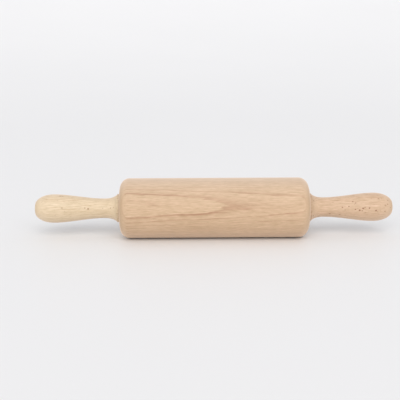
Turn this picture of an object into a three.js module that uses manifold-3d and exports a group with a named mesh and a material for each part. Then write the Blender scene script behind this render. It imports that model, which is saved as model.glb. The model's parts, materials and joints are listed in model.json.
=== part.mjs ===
// Rolling pin: a beech barrel that runs on two ball bearings over a steel axle,
// with a turned beech handle screwed on to each end of the axle.
// Millimetres. +X runs along the axle and +Z is up.
// The origin is on the worktop, under the middle of the barrel.

import * as THREE from 'three';
import { mergeVertices } from 'three/addons/utils/BufferGeometryUtils.js';
import Module from 'manifold-3d';

// Barrel
const BARREL_LENGTH = 200;
const BARREL_DIAMETER = 64;
const BARREL_EDGE_RADIUS = 10;
const BORE_CLEARANCE = 1; // between the axle and the barrel's bore, on the radius

// Handles, measured from the collar's face to the end
const HANDLE_LENGTH = 89.2;
const HANDLE_GAP = 0.8; // open joint between barrel and collar
const COLLAR_DIAMETER = 30;
const COLLAR_LAND = 2.4;
const COLLAR_CHAMFER = 0.5;
const NECK_DIAMETER = 20.9;
const NECK_DISTANCE = 16; // from the collar's face to the slimmest place
const GRIP_DIAMETER = 30.4;
const GRIP_FROM_END = 19.5; // from the fattest place to the end
const END_FLAT_DIAMETER = 14;

// How far the handle's curves run on straight before they bend
const COVE_OUT = 2.2; // away from the collar
const COVE_DROP = 2.6; // down from the collar
const COVE_RUN = 7; // before the neck
const NECK_RUN = 18.5; // after the neck
const GRIP_RUN = 16.5; // before the fattest place
const END_FULLNESS = 0.77; // share of the rounded end that stays full
const END_ROUND = 0.8; // up the end's face, outside the flat

// Axle
const SEAT_DIAMETER = 8; // journal under each bearing, and the screw beyond it
const AXLE_SHOULDER = 1; // step up to the thicker middle, on the radius
const AXLE_REACH = 55; // how far the axle goes into a handle
const AXLE_CHAMFER = 1;
const DRILL_ROOM = 2; // left free past the axle's tip
const DRILL_POINT = 2.4;

// Threaded insert in the handle
const INSERT_WALL = 2.2;
const INSERT_LENGTH = 20;
const FLANGE_WIDTH = 2;
const FLANGE_THICKNESS = 1.5;

// Ball bearing
const BALL_COUNT = 7;
const BALL_DIAMETER = 3.97;
const RING_WALL = 1.4; // at the bottom of the ball groove
const GROOVE_DEPTH = 0.55;
const CAGE_BACK = 0.415; // behind the balls
const CAGE_LIP = 0.9; // past the balls' middle, which snaps them in
const SHIELD_THICKNESS = 0.4;
const SHIELD_RECESS = 0.4; // below the ring's side face
const SHIELD_LEDGE = 0.6; // seat of the shield in the outer ring
const BEARING_RECESS = 0.5; // below the barrel's end face

// Clearances
const FIT = 0.05; // pressed, screwed or glued
const BALL_GAP = 0.1;
const CAGE_GAP = 0.4; // to the rings
const CAGE_END_GAP = 0.2; // to the shields
const SHIELD_GAP = 0.25; // to the inner ring

// Facets
const BARREL_SEGMENTS = 64;
const HANDLE_SEGMENTS = 36;
const RING_SEGMENTS = 32;
const SMALL_SEGMENTS = 24;
const BALL_SEGMENTS = 9;
const BALL_RINGS = 6;
const ARC_STEPS = 6;
const COVE_STEPS = 5;
const SWELL_STEPS = 7;
const GROOVE_STEPS = 5;

const FINISHES = {
  barrelBeech: { color: 0xdcbb99, roughness: 0.55, metalness: 0 },
  paleBeech: { color: 0xecd7b5, roughness: 0.55, metalness: 0 },
  pinkBeech: { color: 0xe3c5a6, roughness: 0.55, metalness: 0 },
  axleSteel: { color: 0xa9acb0, roughness: 0.38, metalness: 1 },
  bearingSteel: { color: 0xc6c9cc, roughness: 0.2, metalness: 1 },
  zincSteel: { color: 0xbfc2c4, roughness: 0.35, metalness: 1 },
  brass: { color: 0xc8a45c, roughness: 0.32, metalness: 1 },
  nylon: { color: 0xded6c2, roughness: 0.6, metalness: 0 },
};

// Sizes that follow from the ones above
const half = (size) => size / 2;
const seatRadius = half(SEAT_DIAMETER);
const axleRadius = seatRadius + AXLE_SHOULDER;
const boreRadius = axleRadius + BORE_CLEARANCE;
const fitRadius = seatRadius + FIT;
const ballRadius = half(BALL_DIAMETER);
const pocketRadius = ballRadius + BALL_GAP;
const innerGroove = fitRadius + RING_WALL;
const pitchRadius = innerGroove + pocketRadius;
const outerGroove = pitchRadius + pocketRadius;
const bearingRadius = outerGroove + RING_WALL;
const innerShoulder = innerGroove + GROOVE_DEPTH;
const outerShoulder = outerGroove - GROOVE_DEPTH;
const grooveEdge = Math.acos((pocketRadius - GROOVE_DEPTH) / pocketRadius); // angle from its middle
const shieldSeat = outerShoulder + SHIELD_LEDGE;
const shieldInside = pocketRadius + CAGE_BACK + CAGE_END_GAP;
const halfBearing = shieldInside + SHIELD_THICKNESS + SHIELD_RECESS;
const bearingOutside = half(BARREL_LENGTH) - BEARING_RECESS;
const bearingMiddle = bearingOutside - halfBearing;
const bearingInside = bearingMiddle - halfBearing;
const collarFace = half(BARREL_LENGTH) + HANDLE_GAP;
const insertRadius = fitRadius + INSERT_WALL;
const flangeRadius = insertRadius + FLANGE_WIDTH;
const axisHeight = half(BARREL_DIAMETER) * Math.cos(Math.PI / BARREL_SEGMENTS);

const wasm = await Module();
wasm.setup();

// A point of a turned profile: its place along the axis and its distance from it
const at = (along, radius) => new THREE.Vector2(radius, along);

// A solid of revolution about X, with a facet square to Z at the top and at the bottom.
// The profile runs towards +X on the outside.
function turned(points, segments) {
  const lathe = new THREE.LatheGeometry(points, segments, Math.PI / segments);
  return lathe.rotateZ(-Math.PI / 2);
}

// A ring about X with a square section
function ring(from, to, innerRadius, outerRadius, segments) {
  const start = at(from, innerRadius);
  return turned([start, at(from, outerRadius), at(to, outerRadius), at(to, innerRadius), start], segments);
}

function curve(from, leaving, arriving, to, steps) {
  return new THREE.CubicBezierCurve(from, leaving, arriving, to).getPoints(steps);
}

function arc(along, radius, bend, startAngle, endAngle, steps) {
  const clockwise = endAngle < startAngle;
  return new THREE.EllipseCurve(radius, along, bend, bend, startAngle, endAngle, clockwise).getPoints(steps);
}

function toSolid(geometry) {
  const bare = geometry.clone();
  bare.deleteAttribute('normal');
  bare.deleteAttribute('uv');
  const merged = mergeVertices(bare);
  const vertProperties = new Float32Array(merged.attributes.position.array);
  const triVerts = new Uint32Array(merged.index.array);
  return new wasm.Manifold(new wasm.Mesh({ numProp: 3, vertProperties, triVerts }));
}

function toGeometry(solid) {
  const mesh = solid.getMesh();
  const geometry = new THREE.BufferGeometry();
  geometry.setAttribute('position', new THREE.BufferAttribute(mesh.vertProperties, 3));
  geometry.setIndex(new THREE.BufferAttribute(mesh.triVerts, 1));
  geometry.computeVertexNormals();
  return geometry;
}

function piece(name, geometry, finish) {
  const mesh = new THREE.Mesh(geometry, new THREE.MeshStandardMaterial(finish));
  mesh.name = name;
  return mesh;
}

// The barrel: rounded ends, a bore for the axle and a counterbore for each bearing
function barrelGeometry() {
  const end = half(BARREL_LENGTH);
  const radius = half(BARREL_DIAMETER);
  const bendAlong = end - BARREL_EDGE_RADIUS;
  const bendRadius = radius - BARREL_EDGE_RADIUS;
  const seat = bearingRadius + FIT;
  const floor = bearingInside - FIT;
  const start = at(-floor, boreRadius);
  return turned([
    start,
    at(-floor, seat),
    at(-end, seat),
    ...arc(-bendAlong, bendRadius, BARREL_EDGE_RADIUS, -Math.PI / 2, 0, ARC_STEPS),
    ...arc(bendAlong, bendRadius, BARREL_EDGE_RADIUS, 0, Math.PI / 2, ARC_STEPS),
    at(end, seat),
    at(floor, seat),
    at(floor, boreRadius),
    start,
  ], BARREL_SEGMENTS);
}

// The axle: thick between the bearings, then a journal and a screw that goes on into the handle
function axleGeometry() {
  const shoulder = bearingInside - FIT;
  const tip = collarFace + AXLE_REACH;
  const tipRadius = seatRadius - AXLE_CHAMFER;
  const rightHalf = [
    at(shoulder, axleRadius),
    at(shoulder, seatRadius),
    at(tip - AXLE_CHAMFER, seatRadius),
    at(tip, tipRadius),
    at(tip, 0),
  ];
  const leftHalf = rightHalf.map((point) => at(-point.y, point.x)).reverse();
  return turned([...leftHalf, ...rightHalf], SMALL_SEGMENTS);
}

// A handle, with its collar's face at zero: collar, cove, slim neck, long swell and rounded end
function handleGeometry() {
  const collar = half(COLLAR_DIAMETER);
  const neck = half(NECK_DIAMETER);
  const grip = half(GRIP_DIAMETER);
  const endFlat = half(END_FLAT_DIAMETER);
  const gripPlace = HANDLE_LENGTH - GRIP_FROM_END;
  const landEnd = at(COLLAR_LAND, collar);
  const neckPoint = at(NECK_DISTANCE, neck);
  const gripPoint = at(gripPlace, grip);
  const endPoint = at(HANDLE_LENGTH, endFlat);
  const boreDepth = AXLE_REACH + DRILL_ROOM;
  const insertDepth = INSERT_LENGTH + FIT;
  const flangeDepth = FLANGE_THICKNESS + FIT;
  const cove = curve(
    landEnd,
    at(COLLAR_LAND + COVE_OUT, collar - COVE_DROP),
    at(NECK_DISTANCE - COVE_RUN, neck),
    neckPoint,
    COVE_STEPS,
  );
  const swell = curve(
    neckPoint,
    at(NECK_DISTANCE + NECK_RUN, neck),
    at(gripPlace - GRIP_RUN, grip),
    gripPoint,
    SWELL_STEPS,
  );
  const roundedEnd = curve(
    gripPoint,
    at(gripPlace + END_FULLNESS * GRIP_FROM_END, grip),
    at(HANDLE_LENGTH, endFlat + END_ROUND),
    endPoint,
    ARC_STEPS,
  );
  return turned([
    at(boreDepth + DRILL_POINT, 0),
    at(boreDepth, fitRadius),
    at(insertDepth, fitRadius),
    at(insertDepth, insertRadius + FIT),
    at(flangeDepth, insertRadius + FIT),
    at(flangeDepth, flangeRadius + FIT),
    at(0, flangeRadius + FIT),
    at(0, collar - COLLAR_CHAMFER),
    at(COLLAR_CHAMFER, collar),
    ...cove,
    ...swell.slice(1),
    ...roundedEnd.slice(1),
    at(HANDLE_LENGTH, 0),
  ], HANDLE_SEGMENTS);
}

// The threaded insert, flush with the collar's face
function insertGeometry() {
  const start = at(INSERT_LENGTH, fitRadius);
  return turned([
    start,
    at(0, fitRadius),
    at(0, flangeRadius),
    at(FLANGE_THICKNESS, flangeRadius),
    at(FLANGE_THICKNESS, insertRadius),
    at(INSERT_LENGTH, insertRadius),
    start,
  ], SMALL_SEGMENTS);
}

function innerRingGeometry() {
  const groove = arc(0, pitchRadius, pocketRadius, Math.PI + grooveEdge, Math.PI - grooveEdge, GROOVE_STEPS);
  const start = at(-halfBearing, fitRadius);
  return turned([
    start,
    at(-halfBearing, innerShoulder),
    ...groove,
    at(halfBearing, innerShoulder),
    at(halfBearing, fitRadius),
    start,
  ], RING_SEGMENTS);
}

function outerRingGeometry() {
  const groove = arc(0, pitchRadius, pocketRadius, grooveEdge, -grooveEdge, GROOVE_STEPS);
  const start = at(-halfBearing, shieldSeat);
  return turned([
    start,
    at(-halfBearing, bearingRadius),
    at(halfBearing, bearingRadius),
    at(halfBearing, shieldSeat),
    at(shieldInside, shieldSeat),
    at(shieldInside, outerShoulder),
    ...groove,
    at(-shieldInside, outerShoulder),
    at(-shieldInside, shieldSeat),
    start,
  ], RING_SEGMENTS);
}

// The cage is a crown: a ring whose pockets are open on one side and snap over the balls
function cageGeometry(ballPlaces) {
  const back = -(pocketRadius + CAGE_BACK);
  const crown = ring(back, CAGE_LIP, innerShoulder + CAGE_GAP, outerShoulder - CAGE_GAP, SMALL_SEGMENTS);
  let solid = toSolid(crown);
  for (const place of ballPlaces) {
    const pocket = new THREE.SphereGeometry(pocketRadius, BALL_SEGMENTS, BALL_RINGS);
    solid = solid.subtract(toSolid(pocket.translate(place.x, place.y, place.z)));
  }
  return toGeometry(solid);
}

// One bearing about its own middle, with its crown's open side towards +X
function bearing(side) {
  const group = new THREE.Group();
  const ballPlaces = [];
  for (let i = 0; i < BALL_COUNT; i++) {
    const angle = (2 * Math.PI * i) / BALL_COUNT;
    ballPlaces.push(new THREE.Vector3(0, pitchRadius * Math.sin(angle), pitchRadius * Math.cos(angle)));
  }
  group.add(piece(`${side}_bearing_inner_ring`, innerRingGeometry(), FINISHES.bearingSteel));
  group.add(piece(`${side}_bearing_outer_ring`, outerRingGeometry(), FINISHES.bearingSteel));
  group.add(piece(`${side}_bearing_cage`, cageGeometry(ballPlaces), FINISHES.nylon));
  ballPlaces.forEach((place, i) => {
    const ball = new THREE.SphereGeometry(ballRadius, BALL_SEGMENTS, BALL_RINGS);
    const mesh = piece(`${side}_bearing_ball_${i + 1}`, ball, FINISHES.bearingSteel);
    mesh.position.copy(place);
    group.add(mesh);
  });
  const shieldFrom = shieldInside + FIT;
  const shieldTo = shieldInside + SHIELD_THICKNESS;
  const shieldHole = innerShoulder + SHIELD_GAP;
  const shieldRim = shieldSeat - FIT;
  const outerShield = ring(shieldFrom, shieldTo, shieldHole, shieldRim, RING_SEGMENTS);
  const innerShield = ring(-shieldTo, -shieldFrom, shieldHole, shieldRim, RING_SEGMENTS);
  group.add(piece(`${side}_bearing_outer_shield`, outerShield, FINISHES.zincSteel));
  group.add(piece(`${side}_bearing_inner_shield`, innerShield, FINISHES.zincSteel));
  return group;
}

// Everything on one end of the axle, drawn towards +X
function endAssembly(side, beech) {
  const group = new THREE.Group();
  const bearingGroup = bearing(side);
  bearingGroup.position.x = bearingMiddle;
  const washer = ring(bearingOutside + FIT, collarFace - FIT, fitRadius, innerShoulder, SMALL_SEGMENTS);
  const insert = piece(`${side}_handle_insert`, insertGeometry(), FINISHES.brass);
  insert.position.x = collarFace;
  const handle = piece(`${side}_handle`, handleGeometry(), beech);
  handle.position.x = collarFace;
  group.add(bearingGroup, piece(`${side}_thrust_washer`, washer, FINISHES.zincSteel), insert, handle);
  return group;
}

const rollingPin = new THREE.Group();
rollingPin.position.z = axisHeight;
rollingPin.add(piece('barrel', barrelGeometry(), FINISHES.barrelBeech));
rollingPin.add(piece('axle', axleGeometry(), FINISHES.axleSteel));
rollingPin.add(endAssembly('right', FINISHES.pinkBeech));
const leftEnd = endAssembly('left', FINISHES.paleBeech);
leftEnd.rotation.z = Math.PI;
rollingPin.add(leftEnd);

export default rollingPin;
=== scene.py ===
"""A rolling pin of turned beech: a barrel on ball bearings between two handles, in a white studio."""

import json
import math

import bmesh
import bpy
from mathutils import Matrix, Vector


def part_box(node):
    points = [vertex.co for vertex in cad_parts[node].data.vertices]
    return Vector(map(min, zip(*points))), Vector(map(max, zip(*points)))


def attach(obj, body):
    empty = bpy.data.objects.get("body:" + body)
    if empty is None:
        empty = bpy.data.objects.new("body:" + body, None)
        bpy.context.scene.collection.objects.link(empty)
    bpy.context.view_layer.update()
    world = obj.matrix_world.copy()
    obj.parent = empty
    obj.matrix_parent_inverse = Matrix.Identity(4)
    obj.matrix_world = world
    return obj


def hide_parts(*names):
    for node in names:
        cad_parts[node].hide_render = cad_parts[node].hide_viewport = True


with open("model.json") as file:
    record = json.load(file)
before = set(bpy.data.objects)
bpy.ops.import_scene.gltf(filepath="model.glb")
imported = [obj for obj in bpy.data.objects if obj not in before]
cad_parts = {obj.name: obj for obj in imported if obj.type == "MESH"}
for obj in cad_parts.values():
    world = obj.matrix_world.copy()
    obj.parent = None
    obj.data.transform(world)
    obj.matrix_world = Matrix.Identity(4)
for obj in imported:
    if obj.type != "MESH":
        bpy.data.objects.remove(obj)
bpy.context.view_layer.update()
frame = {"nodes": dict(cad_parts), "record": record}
record = frame["record"]
slot_of = {subpart["node"]: subpart["material_slot"] for subpart in record["subparts"]}
body_of = {node: body for body, nodes in record["behaviour"]["bodies"].items() for node in nodes}

MM = 0.001
TURN = 2 * math.pi

# Sizes read from the frame, in metres. The right side's pieces give those of both sides.
barrel_low, barrel_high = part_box("barrel")
axis_height = (barrel_low.z + barrel_high.z) / 2
barrel_radius = (barrel_high.z - barrel_low.z) / 2
barrel_end = barrel_high.x


def stretch(node):
    """Where a node starts and ends along the axis."""
    low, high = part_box(node)
    return low.x, high.x


def radii(node):
    """The least and the greatest distance of a node's corners from the axis."""
    corners = frame["nodes"][node].data.vertices
    distances = [math.hypot(corner.co.y, corner.co.z - axis_height) for corner in corners]
    return min(distances), max(distances)


axle_tip = stretch("axle")[1]
axle_radius = radii("axle")[1]
collar_face, handle_end = stretch("right_handle")
grip_radius = radii("right_handle")[1]
insert_end = stretch("right_handle_insert")[1]
screw_hole, flange_radius = radii("right_handle_insert")
washer_start, washer_end = stretch("right_thrust_washer")
washer_hole, washer_radius = radii("right_thrust_washer")
bearing_start, bearing_end = stretch("right_bearing_outer_ring")
bearing_middle = (bearing_start + bearing_end) / 2
half_bearing = (bearing_end - bearing_start) / 2
inner_bore, inner_shoulder = radii("right_bearing_inner_ring")
outer_shoulder, bearing_radius = radii("right_bearing_outer_ring")
pitch_radius = (inner_shoulder + outer_shoulder) / 2
shield_start, shield_end = stretch("right_bearing_outer_shield")
shield_hole, shield_radius = radii("right_bearing_outer_shield")
cage_back, cage_lip = stretch("right_bearing_cage")
cage_inside, cage_outside = radii("right_bearing_cage")
ball_low, ball_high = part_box("right_bearing_ball_1")
ball_radius = (ball_high.y - ball_low.y) / 2

# The turned wood
BARREL_EDGE_RADIUS = 10 * MM
COLLAR_RADIUS = 15 * MM
COLLAR_LAND = 2.4 * MM
COLLAR_EDGE = 0.5 * MM
NECK_RADIUS = 10.45 * MM
NECK_DISTANCE = 16 * MM
GRIP_FROM_END = 19.5 * MM
END_FLAT_RADIUS = 7 * MM
COVE_OUT = 2.2 * MM
COVE_DROP = 2.6 * MM
COVE_RUN = 7 * MM
NECK_RUN = 18.5 * MM
GRIP_RUN = 16.5 * MM
END_FULLNESS = 0.77
END_ROUND = 0.8 * MM
BORE_CLEARANCE = 1 * MM
DRILL_ROOM = 2 * MM
DRILL_POINT = 2.4 * MM

# The metal and nylon inside
FIT = 0.05 * MM
BALL_ROOM = 0.1 * MM
BALL_COUNT = 7
INSERT_RADIUS = 6.25 * MM
FLANGE_THICKNESS = 1.5 * MM
AXLE_CHAMFER = 1 * MM
SMALL_EDGE = 0.25 * MM
CAGE_EDGE = 0.12 * MM
SHIELD_SHEET = 0.2 * MM
SHIELD_RIM = 0.45 * MM
SHIELD_LIP = 0.4 * MM
SHIELD_SLOPE = 0.2 * MM

# Screw threads: the axle's screw, the insert's mouth and the coarse thread that bites into the wood
SCREW_PITCH = 1.25 * MM
SCREW_DEPTH = 0.75 * MM
SCREW_LEAD = 0.2 * MM
INSERT_MOUTH = 0.6 * MM
WOOD_PITCH = 2.5 * MM
WOOD_DEPTH = 0.9 * MM
# One pitch of a thread as shares of its pitch and of its depth: crest, flank, root, flank
THREAD_FORM = ((0, 0), (0.125, 0), (0.4375, 1), (0.6875, 1))

# How finely the pieces are turned
BARREL_SEGMENTS = 192
HANDLE_SEGMENTS = 144
RING_SEGMENTS = 96
SCREW_SEGMENTS = 48
BALL_SEGMENTS = 32
BALL_RINGS = 20
EDGE_STEPS = 20
CURVE_STEPS = 40
SHARP_ANGLE = math.radians(35)
WELD = 0.0005 * MM


def rgb(red, green, blue):
    """An sRGB colour of 0 to 255 as the linear colour that a shader takes."""
    shares = (red / 255, green / 255, blue / 255)
    return tuple(s / 12.92 if s <= 0.04045 else ((s + 0.055) / 1.055) ** 2.4 for s in shares) + (1.0,)


# Shading
class Graph:
    """The nodes of one material."""

    def __init__(self, name):
        self.material = bpy.data.materials.new(name)
        self.material.use_nodes = True
        self.tree = self.material.node_tree
        self.surface = self.tree.nodes["Principled BSDF"]

    def feed(self, socket, source):
        """Links a socket to another node's output, or gives it a plain value."""
        if isinstance(source, bpy.types.NodeSocket):
            self.tree.links.new(source, socket)
        else:
            socket.default_value = source

    def node(self, kind, inputs, **settings):
        """A node of this kind, with its settings and with what feeds its inputs."""
        node = self.tree.nodes.new("ShaderNode" + kind)
        for name, value in settings.items():
            setattr(node, name, value)
        for name, source in inputs.items():
            self.feed(node.inputs[name], source)
        return node

    def math(self, operation, *values):
        """A number worked out from others."""
        node = self.node("Math", {}, operation=operation)
        for socket, value in zip(node.inputs, values):
            self.feed(socket, value)
        return node.outputs[0]

    def vector(self, operation, *values):
        """A vector, or its length, worked out from others."""
        node = self.node("VectorMath", {}, operation=operation)
        for socket, value in zip(node.inputs, values):
            self.feed(socket, value)
        return node.outputs["Value" if operation == "LENGTH" else "Vector"]

    def split(self, vector):
        """A vector's parts, by the names X, Y and Z."""
        return self.node("SeparateXYZ", {"Vector": vector}).outputs

    def noise(self, place, lengths, detail=2.0):
        """Noise from -1 to 1, with features of these lengths along x, y and z."""
        scaled = self.vector("DIVIDE", place, lengths)
        node = self.node("TexNoise", {"Vector": scaled, "Scale": 1.0, "Detail": detail})
        return self.math("MULTIPLY_ADD", node.outputs["Fac"], 2.0, -1.0)

    def line_noise(self, value, length):
        """Noise from -1 to 1 along one value."""
        inputs = {"W": self.math("DIVIDE", value, length), "Scale": 1.0, "Detail": 1.0}
        node = self.node("TexNoise", inputs, noise_dimensions="1D")
        return self.math("MULTIPLY_ADD", node.outputs["Fac"], 2.0, -1.0)

    def step(self, value, low, high):
        """A smooth step from 0 at low to 1 at high."""
        inputs = {"Value": value, "From Min": low, "From Max": high}
        return self.node("MapRange", inputs, interpolation_type="SMOOTHSTEP").outputs["Result"]

    def sum(self, start, parts):
        """A start value plus each part times its amount."""
        for part, amount in parts:
            start = self.math("MULTIPLY_ADD", part, amount, start)
        return start

    def mix(self, share, first, second, blend="MIX"):
        """Two colours mixed, through the sockets that the Mix node has for colours."""
        node = self.node("Mix", {}, data_type="RGBA", blend_type=blend)
        for index, source in ((0, share), (6, first), (7, second)):
            self.feed(node.inputs[index], source)
        return node.outputs[2]

    def finish(self, colour, roughness, height, specular):
        """The material with this surface. Height is in millimetres."""
        bump = self.node("Bump", {"Height": height, "Distance": MM, "Strength": 1.0})
        self.feed(self.surface.inputs["Base Color"], colour)
        self.feed(self.surface.inputs["Roughness"], roughness)
        self.feed(self.surface.inputs["Normal"], bump.outputs["Normal"])
        self.surface.inputs["Specular IOR Level"].default_value = specular
        return self.material


# Lengths of the grain's features in millimetres, along and across the grain
WANDER_LENGTHS = (120, 30, 30)
FLAME_LENGTHS = (30, 6, 6)
FEATHER_LENGTHS = (14, 1.1, 1.1)
FADE_LENGTHS = (55, 5, 5)
STREAK_LENGTHS = (45, 2.2, 2.2)
VEIN_LENGTHS = (16, 0.9, 0.9)
DASH_LENGTHS = (8, 1.2, 1.2)
FIBRE_LENGTHS = (5, 0.3, 0.3)
PORE_LENGTHS = (2.2, 0.12, 0.12)
CLUSTER_LENGTHS = (55, 7, 7)
RAGGED_LENGTHS = (0.9, 0.4, 0.4)
PATINA_LENGTHS = (45, 22, 22)
RAY_SPACING = (3.4, 1.6, 3)

# Yearly rings: how far they stray in millimetres, and how unlike each other the years are
RING_WAVES = ((WANDER_LENGTHS, 1.2), (FLAME_LENGTHS, 0.6), (FEATHER_LENGTHS, 0.35))
WIDTH_YEARS = 3.1
WIDTH_VARIES = 0.9
STRENGTH_YEARS = 0.37
STRENGTH_VARIES = 0.7
STRENGTH_MEAN = 0.5
FADE_AMOUNT = 0.8
LATE_RISE = (0.66, 0.94)
LATE_FALL = (1.0, 0.95)
SEASON_SHARE = 0.3
END_FADE_RANGE = (0.05, 0.5)
END_FADE = -0.7

# Marks in the grain: where in the noise they start, and how much they lighten or darken the wood
VEIN_RANGE = (0.25, 0.6)
PORE_RANGE = (0.2, 0.6)
# Where the ends start to darken, by how squarely they face along the axis: partly the end grain's own
# colour, partly painted shade on the rounded ends
END_GRAIN_AND_SHADE_RANGE = (0.35, 1.0)
PATINA_TONE = 0.06
STREAK_TONE = 0.16
VEIN_TONE = -0.22
DASH_TONE = 0.32
FIBRE_TONE = 0.14
PORE_TONE = -0.08
# How much the ends darken: partly end grain, partly painted shade
END_GRAIN_AND_SHADE_TONE = -0.24
# How closely each colour follows those marks: darker wood is also browner
TONE_POWERS = {"Red": 0.78, "Green": 0.86, "Blue": 1.2}

# Rays: their size in cells, how ragged they are and where in the noise they gather
RAY_SMALLEST = 0.02
RAY_SIZES = 0.42
RAY_RAGGED = 0.6
RAY_EDGE = (1.0, 0.5)
CLUSTER_RANGE = (0.35, 0.6)
# How far a flecked piece lowers the limits of where they gather
CLUSTER_GROWTH = 0.3
RAY_BROWN = rgb(138, 96, 66)

# Painted highlight: the upper side is screened paler, as light falling from above would make it; it starts
# and is full this far up from the axis, in millimetres
PAINTED_HIGHLIGHT_BAND = (2, 34)
PAINTED_HIGHLIGHT_COLOUR = (0.13, 0.12, 0.105, 1.0)

# The sanded surface, with heights in millimetres
WOOD_ROUGHNESS = 0.56
WOOD_ROUGHNESS_VARIES = 0.1
WOOD_SPECULAR = 0.5
WOOD_SHEEN = 0.9
WOOD_SHEEN_TINT = rgb(255, 232, 212)
WOOD_SHEEN_ROUGHNESS = 0.45
FIBRE_HEIGHT = 0.012
PORE_HEIGHT = -0.02


def beech(name, early, late, figure, flecked, painted_highlight, depth, facing, lean, ring, phase, seed):
    """Bare beech. Early and late are its colours through a year's growth, which is ring wide and starts
    at phase. Figure is how lively its grain is, flecked how many of its rays show, and painted_highlight
    how strongly a painted highlight makes its upper side paler. Its ends are darker, partly as end grain
    and partly as painted shade on the rounded ends. The rings lie flat to the surface that looks up at the
    angle called facing from the front. The tree's pith runs at this depth behind the axis and sinks by lean
    along the piece. Seed is how far along the tree the piece is cut. Lengths are in millimetres."""
    graph = Graph(name)
    coordinates = graph.node("TexCoord", {}).outputs
    mapping = {
        "Vector": graph.vector("SUBTRACT", coordinates["Object"], (0, 0, axis_height)),
        "Location": (seed, 0, depth),
        "Rotation": (facing - math.pi / 2, lean, 0),
        "Scale": (1 / MM, 1 / MM, 1 / MM),
    }
    place = graph.node("Mapping", mapping).outputs["Vector"]
    grain = graph.split(place)
    from_pith = graph.vector("LENGTH", graph.vector("MULTIPLY", place, (0, 1, 1)))
    endwise = graph.math("ABSOLUTE", graph.split(coordinates["Normal"])["X"])

    # Yearly rings, uneven in width and in strength, wavy and feathered along the grain
    waves = [(graph.noise(place, lengths), amount * figure) for lengths, amount in RING_WAVES]
    growth = graph.sum(from_pith, waves)
    years = graph.math("ADD", graph.math("DIVIDE", growth, ring), phase)
    years = graph.sum(years, [(graph.line_noise(years, WIDTH_YEARS), WIDTH_VARIES)])
    season = graph.math("FRACT", years)
    year = graph.math("FLOOR", years)
    varies = (graph.line_noise(year, STRENGTH_YEARS), STRENGTH_VARIES)
    fades = (graph.noise(place, FADE_LENGTHS), FADE_AMOUNT)
    strength = graph.sum(STRENGTH_MEAN, [varies, fades])
    line = graph.math("MULTIPLY", graph.step(season, *LATE_RISE), graph.step(season, *LATE_FALL))
    shade = graph.sum(0.0, [(season, SEASON_SHARE), (line, 1 - SEASON_SHARE)])
    faded = graph.sum(1.0, [(graph.step(endwise, *END_FADE_RANGE), END_FADE)])
    latewood = graph.math("MULTIPLY", shade, graph.math("MULTIPLY", strength, faded))

    # Streaks, thin dark veins, short dashes, fibres and pores along the grain
    streak = graph.noise(place, STREAK_LENGTHS, detail=3.0)
    vein = graph.step(graph.noise(place, VEIN_LENGTHS), *VEIN_RANGE)
    dash = graph.noise(place, DASH_LENGTHS)
    fibre = graph.noise(place, FIBRE_LENGTHS)
    pore = graph.step(graph.noise(place, PORE_LENGTHS, detail=1.0), *PORE_RANGE)
    marks = graph.sum(0.0, [
        (streak, STREAK_TONE * figure),
        (vein, VEIN_TONE * figure),
        (dash, DASH_TONE * figure),
        (fibre, FIBRE_TONE),
        (pore, PORE_TONE),
    ])
    tone = graph.sum(1.0, [
        (graph.noise(place, PATINA_LENGTHS), PATINA_TONE),
        # The ends darken, partly as end grain and partly as painted shade
        (graph.step(endwise, *END_GRAIN_AND_SHADE_RANGE), END_GRAIN_AND_SHADE_TONE),
        (marks, faded),
    ])
    tints = {part: graph.math("POWER", tone, power) for part, power in TONE_POWERS.items()}
    tint = graph.node("CombineColor", tints).outputs["Color"]

    # Rays: thin ribbons that run out from the pith and show as small brown flecks
    round_pith = graph.math("MULTIPLY", graph.math("ARCTAN2", grain["Y"], grain["Z"]), depth)
    rays = graph.node("CombineXYZ", {"X": grain["X"], "Y": round_pith, "Z": from_pith}).outputs["Vector"]
    cells = graph.vector("DIVIDE", rays, RAY_SPACING)
    cell = graph.node("TexVoronoi", {"Vector": cells, "Scale": 1.0}).outputs
    chance = graph.node("SeparateColor", {"Color": cell["Color"]}).outputs["Red"]
    size = graph.sum(RAY_SMALLEST, [(chance, RAY_SIZES)])
    edge = graph.math("DIVIDE", cell["Distance"], size)
    edge = graph.sum(edge, [(graph.noise(place, RAGGED_LENGTHS), RAY_RAGGED)])
    gathered = [limit - CLUSTER_GROWTH * flecked for limit in CLUSTER_RANGE]
    cluster = graph.step(graph.noise(place, CLUSTER_LENGTHS), *gathered)
    shown = graph.math("MULTIPLY", cluster, min(flecked, 1.0))
    fleck = graph.math("MULTIPLY", graph.step(edge, *RAY_EDGE), shown)

    colour = graph.mix(1.0, graph.mix(latewood, early, late), tint, "MULTIPLY")
    # Painted highlight: the upper side is screened paler, as if lit from above
    highlight_share = graph.math("MULTIPLY", graph.step(grain["Y"], *PAINTED_HIGHLIGHT_BAND), painted_highlight)
    colour = graph.mix(highlight_share, colour, PAINTED_HIGHLIGHT_COLOUR, "SCREEN")
    colour = graph.mix(fleck, colour, RAY_BROWN)
    roughness = graph.sum(WOOD_ROUGHNESS, [(dash, WOOD_ROUGHNESS_VARIES)])
    height = graph.sum(0.0, [(fibre, FIBRE_HEIGHT), (pore, PORE_HEIGHT)])
    graph.surface.inputs["Sheen Weight"].default_value = WOOD_SHEEN
    graph.surface.inputs["Sheen Roughness"].default_value = WOOD_SHEEN_ROUGHNESS
    graph.surface.inputs["Sheen Tint"].default_value = WOOD_SHEEN_TINT
    return graph.finish(colour, roughness, height, WOOD_SPECULAR)


# Metal, in millimetres: the lengths of its tool marks are along the axis and out from it
TOOL_MARK_LENGTHS = (0.09, 0.09, 1)
TOOL_MARK_HEIGHT = 0.002
POLISH_LENGTHS = (3, 3, 3)
POLISH_TONE = 0.12
POLISH_ROUGHNESS = 0.08
METAL_SPECULAR = 0.5


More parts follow.
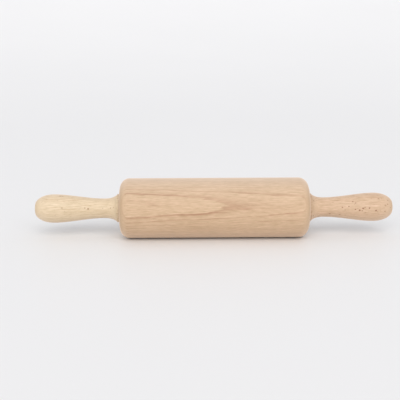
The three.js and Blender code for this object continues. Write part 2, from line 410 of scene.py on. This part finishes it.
def metal(name, colour, roughness, marked=1.0):
    """Worked metal, whose polish varies in patches. Marked is how deep the fine tool marks are that run
    round the axis."""
    graph = Graph(name)
    mapping = {
        "Vector": graph.node("TexCoord", {}).outputs["Object"],
        "Location": (0, 0, -axis_height / MM),
        "Scale": (1 / MM, 1 / MM, 1 / MM),
    }
    place = graph.node("Mapping", mapping).outputs["Vector"]
    from_axis = graph.vector("LENGTH", graph.vector("MULTIPLY", place, (0, 1, 1)))
    marks = graph.node("CombineXYZ", {"X": graph.split(place)["X"], "Y": from_axis}).outputs["Vector"]
    mark = graph.noise(marks, TOOL_MARK_LENGTHS, detail=3.0)
    patch = graph.noise(place, POLISH_LENGTHS, detail=3.0)
    tone = graph.sum(1.0, [(patch, POLISH_TONE)])
    gloss = graph.sum(roughness, [(patch, POLISH_ROUGHNESS)])
    height = graph.math("MULTIPLY", mark, TOOL_MARK_HEIGHT * marked)
    graph.surface.inputs["Metallic"].default_value = 1.0
    return graph.finish(graph.mix(1.0, colour, tone, "MULTIPLY"), gloss, height, METAL_SPECULAR)


# Nylon: lengths in metres, and the mould's height in millimetres
CLOUD_LENGTHS = (2 * MM, 2 * MM, 2 * MM)
MOULD_LENGTHS = (0.1 * MM, 0.1 * MM, 0.1 * MM)
MOULD_HEIGHT = 0.004
CLOUD_TONE = 0.08
CLOUD_ROUGHNESS = 0.06
NYLON_ROUGHNESS = 0.45
NYLON_SPECULAR = 0.5


def nylon(name, colour):
    """Moulded natural nylon, faintly cloudy, with a fine grain."""
    graph = Graph(name)
    place = graph.node("TexCoord", {}).outputs["Object"]
    cloud = graph.noise(place, CLOUD_LENGTHS, detail=3.0)
    tone = graph.sum(1.0, [(cloud, CLOUD_TONE)])
    roughness = graph.sum(NYLON_ROUGHNESS, [(cloud, CLOUD_ROUGHNESS)])
    height = graph.math("MULTIPLY", graph.noise(place, MOULD_LENGTHS), MOULD_HEIGHT)
    return graph.finish(graph.mix(1.0, colour, tone, "MULTIPLY"), roughness, height, NYLON_SPECULAR)


# Where the rings lie flat to the surface: the angle up from the front
FLAT_FACE = math.radians(19)
STANDING_RINGS = math.radians(85)

# A finish for each material slot, and one for the balls, which have no tool marks
FINISHES = {
    "barrel_beech": beech(
        "barrel_beech", early=rgb(196, 166, 134), late=rgb(166, 127, 97),
        figure=1.0, flecked=0.2, painted_highlight=1.0,
        depth=170, facing=FLAT_FACE, lean=0.0185, ring=1.84, phase=0.658, seed=308,
    ),
    "pale_beech": beech(
        "pale_beech", early=rgb(211, 190, 159), late=rgb(184, 154, 118),
        figure=0.95, flecked=0.9, painted_highlight=0.0,
        depth=140, facing=STANDING_RINGS, lean=0.006, ring=1.7, phase=0.3, seed=-2465,
    ),
    "pink_beech": beech(
        "pink_beech", early=rgb(202, 172, 142), late=rgb(171, 133, 103),
        figure=1.1, flecked=1.45, painted_highlight=0.0,
        depth=150, facing=STANDING_RINGS, lean=-0.006, ring=1.6, phase=0.6, seed=700,
    ),
    "axle_steel": metal("axle_steel", rgb(196, 200, 204), roughness=0.3),
    "bearing_steel": metal("bearing_steel", rgb(214, 217, 220), roughness=0.14),
    "zinc_steel": metal("zinc_steel", rgb(204, 208, 210), roughness=0.36),
    "insert_brass": metal("insert_brass", rgb(214, 178, 104), roughness=0.28),
    "cage_nylon": nylon("cage_nylon", rgb(226, 218, 198)),
}
BALL_STEEL = metal("ball_steel", rgb(222, 224, 227), roughness=0.1, marked=0.0)


# Turning: a profile is a list of places along the axis and distances from it
def arc(along, radius, bend, start, end):
    """A round stretch about a centre. Its angles count from straight out, towards the right."""
    angles = [start + (end - start) * i / EDGE_STEPS for i in range(EDGE_STEPS + 1)]
    return [(along + bend * math.sin(angle), radius + bend * math.cos(angle)) for angle in angles]


def curve(start, leaving, arriving, end):
    """A cubic Bezier curve: two ends, and the points that it leaves and arrives along."""
    points = []
    for i in range(CURVE_STEPS + 1):
        t = i / CURVE_STEPS
        weights = ((1 - t) ** 3, 3 * t * (1 - t) ** 2, 3 * t**2 * (1 - t), t**3)
        corners = (start, leaving, arriving, end)
        points.append(tuple(sum(w * c[k] for w, c in zip(weights, corners)) for k in (0, 1)))
    return points


def mirrored(points):
    """The same points at the other side of the middle, in reverse order."""
    return [(-along, radius) for along, radius in reversed(points)]


def bevelled(start, end, inside, outside, edge):
    """The profile of a plain ring with its corners taken off."""
    return [
        (start, inside + edge),
        (start, outside - edge),
        (start + edge, outside),
        (end - edge, outside),
        (end, outside - edge),
        (end, inside + edge),
        (end - edge, inside),
        (start + edge, inside),
    ]


def thread(start, end, pitch, radius, depth):
    """Rows that wind round as a right-hand thread, cut into this radius. It runs out at both ends."""
    rows = []
    first = math.floor((start - collar_face) / pitch) - 1
    last = math.ceil((end - collar_face) / pitch)
    for turn in range(first, last + 1):
        for share, cut in THREAD_FORM:
            row = []
            for i in range(SCREW_SEGMENTS):
                along = collar_face + pitch * (turn + share + i / SCREW_SEGMENTS)
                along = min(max(along, start), end)
                full = min(1.0, (along - start) / pitch, (end - along) / pitch)
                row.append((along, radius - depth * cut * full))
            rows.append(row)
    return rows


def other_end(rows):
    """The same rows half a turn round in plan, in reverse order."""
    turned_rows = []
    for row in reversed(rows):
        if isinstance(row, list):
            turned_rows.append([(-along, radius) for along, radius in row[:1] + row[:0:-1]])
        else:
            turned_rows.append((-row[0], row[1]))
    return turned_rows


def lathe(rows, segments, closed, sign=1):
    """A mesh turned about the axle's axis, or with a sign of -1 the same half a turn round in plan. A row
    is one point of a profile, or a list with a point for each segment. Closed rows make a ring, and others
    start and end on the axis."""
    mesh = bmesh.new()
    rings = []
    for row in rows:
        points = row if isinstance(row, list) else [row] * segments
        ring = []
        for i, (along, radius) in enumerate(points):
            angle = TURN * i / segments
            across = sign * radius * math.sin(angle)
            ring.append(mesh.verts.new((sign * along, across, axis_height - radius * math.cos(angle))))
        rings.append(ring)
    if closed:
        rings.append(rings[0])
    for ring, following in zip(rings, rings[1:]):
        for i in range(segments):
            j = (i + 1) % segments
            mesh.faces.new((ring[i], ring[j], following[j], following[i]))
    bmesh.ops.remove_doubles(mesh, verts=mesh.verts, dist=WELD)
    bmesh.ops.recalc_face_normals(mesh, faces=mesh.faces)
    return mesh


def balls(centres, radius):
    """One mesh with a ball at each centre."""
    mesh = bmesh.new()
    for centre in centres:
        place = Matrix.Translation(centre)
        bmesh.ops.create_uvsphere(
            mesh, u_segments=BALL_SEGMENTS, v_segments=BALL_RINGS, radius=radius, matrix=place,
        )
    return mesh


def cut(mesh, tool):
    """A mesh less another one."""
    parts = []
    for part in (mesh, tool):
        data = bpy.data.meshes.new("part")
        part.to_mesh(data)
        part.free()
        parts.append(bpy.data.objects.new("part", data))
        bpy.context.scene.collection.objects.link(parts[-1])
    whole, cutter = parts
    modifier = whole.modifiers.new("cut", "BOOLEAN")
    modifier.operation = "DIFFERENCE"
    modifier.object = cutter
    result = bmesh.new()
    result.from_object(whole, bpy.context.evaluated_depsgraph_get())
    for part in parts:
        data = part.data
        bpy.data.objects.remove(part)
        bpy.data.meshes.remove(data)
    return result


def stand_for(node, mesh, finish=None):
    """Makes a mesh the visible piece for a node, on its body, in its slot's finish or in one of its own."""
    for face in mesh.faces:
        face.smooth = True
    for edge in mesh.edges:
        edge.smooth = edge.calc_face_angle(0) < SHARP_ANGLE
    data = bpy.data.meshes.new("shaped_" + node)
    mesh.to_mesh(data)
    mesh.free()
    data.materials.append(finish or FINISHES[slot_of[node]])
    piece = bpy.data.objects.new(data.name, data)
    bpy.context.scene.collection.objects.link(piece)
    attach(piece, body_of[node])
    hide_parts(node)


# The wood
def barrel_profile():
    """Rounded ends, a bore for the axle and a counterbore for each bearing."""
    bend_along = barrel_end - BARREL_EDGE_RADIUS
    bend_radius = barrel_radius - BARREL_EDGE_RADIUS
    floor_place = bearing_start - FIT
    seat = bearing_radius + FIT
    bore = axle_radius + BORE_CLEARANCE
    right = arc(bend_along, bend_radius, BARREL_EDGE_RADIUS, 0, math.pi / 2)
    right += [(barrel_end, seat), (floor_place, seat), (floor_place, bore)]
    return mirrored(right) + right


def handle_profile():
    """Bore for the insert and the axle's end, then collar, cove, neck, swell and rounded end."""
    neck_place = collar_face + NECK_DISTANCE
    grip_place = handle_end - GRIP_FROM_END
    neck = (neck_place, NECK_RADIUS)
    grip = (grip_place, grip_radius)
    end = (handle_end, END_FLAT_RADIUS)
    land_place = collar_face + COLLAR_LAND
    cove_start = (land_place + COVE_OUT, COLLAR_RADIUS - COVE_DROP)
    cove = curve((land_place, COLLAR_RADIUS), cove_start, (neck_place - COVE_RUN, NECK_RADIUS), neck)
    swell = curve(neck, (neck_place + NECK_RUN, NECK_RADIUS), (grip_place - GRIP_RUN, grip_radius), grip)
    full = (grip_place + END_FULLNESS * GRIP_FROM_END, grip_radius)
    rounded = curve(grip, full, (handle_end, END_FLAT_RADIUS + END_ROUND), end)
    bore_end = axle_tip + DRILL_ROOM
    insert_floor = insert_end + FIT
    flange_floor = collar_face + FLANGE_THICKNESS + FIT
    bore = [
        (bore_end + DRILL_POINT, 0),
        (bore_end, screw_hole),
        (insert_floor, screw_hole),
        (insert_floor, INSERT_RADIUS + FIT),
        (flange_floor, INSERT_RADIUS + FIT),
        (flange_floor, flange_radius + FIT),
        (collar_face, flange_radius + FIT),
    ]
    edge_place = collar_face + COLLAR_EDGE
    collar = arc(edge_place, COLLAR_RADIUS - COLLAR_EDGE, COLLAR_EDGE, -math.pi / 2, 0)
    return bore + collar + cove + swell[1:] + rounded[1:] + [(handle_end, 0)]


# The metal and nylon inside
def axle_rows():
    """Thick between the bearings, then at each end a journal and a screw."""
    seat = washer_hole - FIT
    shoulder = bearing_start - FIT
    right = [
        (shoulder - SMALL_EDGE, axle_radius),
        (shoulder, axle_radius - SMALL_EDGE),
        (shoulder, seat),
        *thread(collar_face + SCREW_LEAD, axle_tip - AXLE_CHAMFER, SCREW_PITCH, seat, SCREW_DEPTH),
        (axle_tip, seat - AXLE_CHAMFER),
        (axle_tip, 0),
    ]
    return other_end(right) + right


def insert_rows():
    """A flange, a bore that takes the axle's screw, and a coarse thread outside that bites into wood."""
    flange_back = collar_face + FLANGE_THICKNESS
    mouth = screw_hole + INSERT_MOUTH
    screw_end = insert_end - INSERT_MOUTH
    wood_end = insert_end - SMALL_EDGE
    return [
        (collar_face, mouth),
        *thread(collar_face + INSERT_MOUTH, screw_end, SCREW_PITCH, screw_hole, SCREW_DEPTH),
        (insert_end, mouth),
        (insert_end, INSERT_RADIUS - SMALL_EDGE),
        *reversed(thread(flange_back + SMALL_EDGE, wood_end, WOOD_PITCH, INSERT_RADIUS, WOOD_DEPTH)),
        (flange_back, INSERT_RADIUS),
        (flange_back, flange_radius - SMALL_EDGE),
        (flange_back - SMALL_EDGE, flange_radius),
        (collar_face + SMALL_EDGE, flange_radius),
        (collar_face, flange_radius - SMALL_EDGE),
    ]


def inner_ring_profile():
    """A ring round the axle, with a groove outside in which the balls run."""
    groove_radius = ball_radius + BALL_ROOM
    edge = math.acos((pitch_radius - inner_shoulder) / groove_radius)
    ring = bevelled(bearing_start, bearing_end, inner_bore, inner_shoulder, SMALL_EDGE)
    groove = arc(bearing_middle, pitch_radius, groove_radius, math.pi + edge, math.pi - edge)
    return ring[:3] + groove + ring[3:]


def outer_ring_profile():
    """A ring in the barrel, with a groove inside for the balls and a seat for a shield at each side."""
    groove_radius = ball_radius + BALL_ROOM
    edge = math.acos((outer_shoulder - pitch_radius) / groove_radius)
    seat = shield_radius + FIT
    seat_floor = shield_start - FIT - bearing_middle
    right = [
        (half_bearing - SMALL_EDGE, bearing_radius),
        (half_bearing, bearing_radius - SMALL_EDGE),
        (half_bearing, seat),
        (seat_floor, seat),
        (seat_floor, outer_shoulder),
    ]
    groove = arc(0, pitch_radius, groove_radius, edge, -edge)
    profile = mirrored(right) + right + groove
    return [(bearing_middle + along, radius) for along, radius in profile]


def shield_profile():
    """Pressed sheet: a thick rolled rim, a web set back from it and a lip round the hole."""
    web = shield_start + SHIELD_SHEET
    lip_back = shield_end - SHIELD_SHEET
    rim_inside = shield_radius - SHIELD_RIM
    lip_outside = shield_hole + SHIELD_LIP
    rim = (shield_end - shield_start) / 2
    return [
        (shield_end, rim_inside),
        (web, rim_inside - SHIELD_SLOPE),
        (web, lip_outside + SHIELD_SLOPE),
        (shield_end, lip_outside),
        (shield_end, shield_hole),
        (lip_back, shield_hole),
        (lip_back, lip_outside),
        (shield_start, lip_outside + SHIELD_SLOPE),
        *arc(shield_start + rim, shield_radius - rim, rim, -math.pi / 2, math.pi / 2),
    ]


def about_middle(profile):
    """A piece of the bearing turned over, so that it lies at the bearing's other side."""
    return [(2 * bearing_middle - along, radius) for along, radius in profile]


def ball_centres(sign):
    """The centres of one side's balls, evenly round the bearing."""
    angles = [TURN * i / BALL_COUNT for i in range(BALL_COUNT)]
    places = [(math.sin(angle) * pitch_radius, math.cos(angle) * pitch_radius) for angle in angles]
    return [(sign * bearing_middle, sign * across, axis_height + up) for across, up in places]


stand_for("barrel", lathe(barrel_profile(), BARREL_SEGMENTS, closed=True))
stand_for("axle", lathe(axle_rows(), SCREW_SEGMENTS, closed=False))

RINGS = {
    "thrust_washer": bevelled(washer_start, washer_end, washer_hole, washer_radius, SMALL_EDGE),
    "bearing_inner_ring": inner_ring_profile(),
    "bearing_outer_ring": outer_ring_profile(),
    "bearing_outer_shield": shield_profile(),
    "bearing_inner_shield": about_middle(shield_profile()),
}
for side, sign in (("left", -1), ("right", 1)):
    stand_for(f"{side}_handle", lathe(handle_profile(), HANDLE_SEGMENTS, closed=False, sign=sign))
    stand_for(f"{side}_handle_insert", lathe(insert_rows(), SCREW_SEGMENTS, closed=True, sign=sign))
    for ring, profile in RINGS.items():
        stand_for(f"{side}_{ring}", lathe(profile, RING_SEGMENTS, closed=True, sign=sign))
    centres = ball_centres(sign)
    for number, centre in enumerate(centres, 1):
        stand_for(f"{side}_bearing_ball_{number}", balls([centre], ball_radius), BALL_STEEL)
    crown = bevelled(cage_back, cage_lip, cage_inside, cage_outside, CAGE_EDGE)
    crown_mesh = lathe(crown, RING_SEGMENTS, closed=True, sign=sign)
    stand_for(f"{side}_bearing_cage", cut(crown_mesh, balls(centres, ball_radius + BALL_ROOM)))


# The studio: a pale, faintly glossy floor that sweeps up all round, and a broad soft light from the front
FLOOR_FLAT = 1.2
FLOOR_REACH = 5.5
FLOOR_BEND = 12.0
FLOOR_RINGS = 24
FLOOR_SEGMENTS = 96
FLOOR_COLOUR = rgb(233, 232, 231)
FLOOR_ROUGHNESS = 0.45
FLOOR_SPECULAR = 0.3
FLOOR_CLOUD_LENGTHS = (0.5, 0.5, 0.5)
FLOOR_CLOUD_TONE = 0.01
FLOOR_CLOUD_ROUGHNESS = 0.05
FLOOR_GRAIN_LENGTHS = (4 * MM, 4 * MM, 4 * MM)
FLOOR_GRAIN_HEIGHT = 0.004
SURROUND_COLOUR = rgb(250, 251, 255)
SURROUND_STRENGTH = 0.74
LIGHT_SPREAD = math.radians(30)
# Each light's name, its angles to the right of the front and up in degrees, and its strength
LIGHTS = (
    ("middle_light", 6, 45, 0.75),
    ("left_light", -24, 30, 0.80),
    ("right_light", 28, 30, 0.44),
)


def floor_material():
    """Pale paint with a fine grain, hardly uneven in colour and gloss."""
    graph = Graph("floor_paint")
    coordinates = graph.node("TexCoord", {}).outputs["Object"]
    cloud = graph.noise(coordinates, FLOOR_CLOUD_LENGTHS, detail=3.0)
    grain = graph.noise(coordinates, FLOOR_GRAIN_LENGTHS)
    tone = graph.sum(1.0, [(cloud, FLOOR_CLOUD_TONE)])
    colour = graph.mix(1.0, FLOOR_COLOUR, tone, "MULTIPLY")
    roughness = graph.sum(FLOOR_ROUGHNESS, [(cloud, FLOOR_CLOUD_ROUGHNESS)])
    height = graph.math("MULTIPLY", grain, FLOOR_GRAIN_HEIGHT)
    return graph.finish(colour, roughness, height, FLOOR_SPECULAR)


def swept_floor():
    """Flat under the object, then bending up ever more steeply, and round as seen from above."""
    corners = [(0, 0, 0)]
    faces = []
    for ring in range(FLOOR_RINGS + 1):
        bent = (FLOOR_REACH - FLOOR_FLAT) * ring / FLOOR_RINGS
        for i in range(FLOOR_SEGMENTS):
            angle = TURN * i / FLOOR_SEGMENTS
            radius = FLOOR_FLAT + bent
            corners.append((radius * math.cos(angle), radius * math.sin(angle), bent**2 / (2 * FLOOR_BEND)))
    for i in range(FLOOR_SEGMENTS):
        j = (i + 1) % FLOOR_SEGMENTS
        faces.append((0, 1 + i, 1 + j))
        for ring in range(FLOOR_RINGS):
            inner = 1 + ring * FLOOR_SEGMENTS
            outer = inner + FLOOR_SEGMENTS
            faces.append((inner + i, outer + i, outer + j, inner + j))
    mesh = bpy.data.meshes.new("floor")
    mesh.from_pydata(corners, [], faces)
    for face in mesh.polygons:
        face.use_smooth = True
    return mesh


floor_mesh = swept_floor()
floor_mesh.materials.append(floor_material())
floor = bpy.data.objects.new("floor", floor_mesh)
bpy.context.scene.collection.objects.link(floor)

world = bpy.data.worlds.new("studio")
world.use_nodes = True
surround = world.node_tree.nodes["Background"].inputs
surround["Color"].default_value = SURROUND_COLOUR
surround["Strength"].default_value = SURROUND_STRENGTH
bpy.context.scene.world = world

for name, side, height, strength in LIGHTS:
    data = bpy.data.lights.new(name, "SUN")
    data.angle = LIGHT_SPREAD
    data.energy = strength
    light = bpy.data.objects.new(name, data)
    light.rotation_euler = (math.radians(90 - height), 0, math.radians(side))
    bpy.context.scene.collection.objects.link(light)

# The camera: where it stood for the photograph, from how the outline fits
IMAGE_PIXELS = 400
FOCAL_PIXELS = 699.6
SENSOR = 36.0
CAMERA_NEAR = 10 * MM
CAMERA_DISTANCE = 0.75
CAMERA_ELEVATION = math.radians(13)
CAMERA_TURN = 0.0134
CAMERA_ROLL = 0.0054
CAMERA_SIDE = 15.14 * MM
CAMERA_RISE = -8.18 * MM


def camera_matrix():
    """The camera's place and axes. It looks at the barrel's middle from the front and above."""
    x_axis = Vector((1, 0, 0))
    up = Vector((0, math.sin(CAMERA_ELEVATION), math.cos(CAMERA_ELEVATION)))
    back = Vector((0, -math.cos(CAMERA_ELEVATION), math.sin(CAMERA_ELEVATION)))
    level = x_axis * math.cos(CAMERA_TURN) + back * math.sin(CAMERA_TURN)
    camera_back = back * math.cos(CAMERA_TURN) - x_axis * math.sin(CAMERA_TURN)
    camera_right = level * math.cos(CAMERA_ROLL) - up * math.sin(CAMERA_ROLL)
    camera_up = level * math.sin(CAMERA_ROLL) + up * math.cos(CAMERA_ROLL)
    middle = Vector((0, 0, axis_height))
    place = middle - camera_right * CAMERA_SIDE - camera_up * CAMERA_RISE + camera_back * CAMERA_DISTANCE
    axes = Matrix((camera_right, camera_up, camera_back)).transposed()
    return Matrix.Translation(place) @ axes.to_4x4()


camera_data = bpy.data.cameras.new("camera")
camera_data.sensor_width = SENSOR
camera_data.lens = SENSOR * FOCAL_PIXELS / IMAGE_PIXELS
camera_data.clip_start = CAMERA_NEAR
camera = bpy.data.objects.new("camera", camera_data)
camera.matrix_world = camera_matrix()
bpy.context.scene.collection.objects.link(camera)
bpy.context.scene.camera = camera
bpy.context.scene.view_settings.view_transform = "Standard"
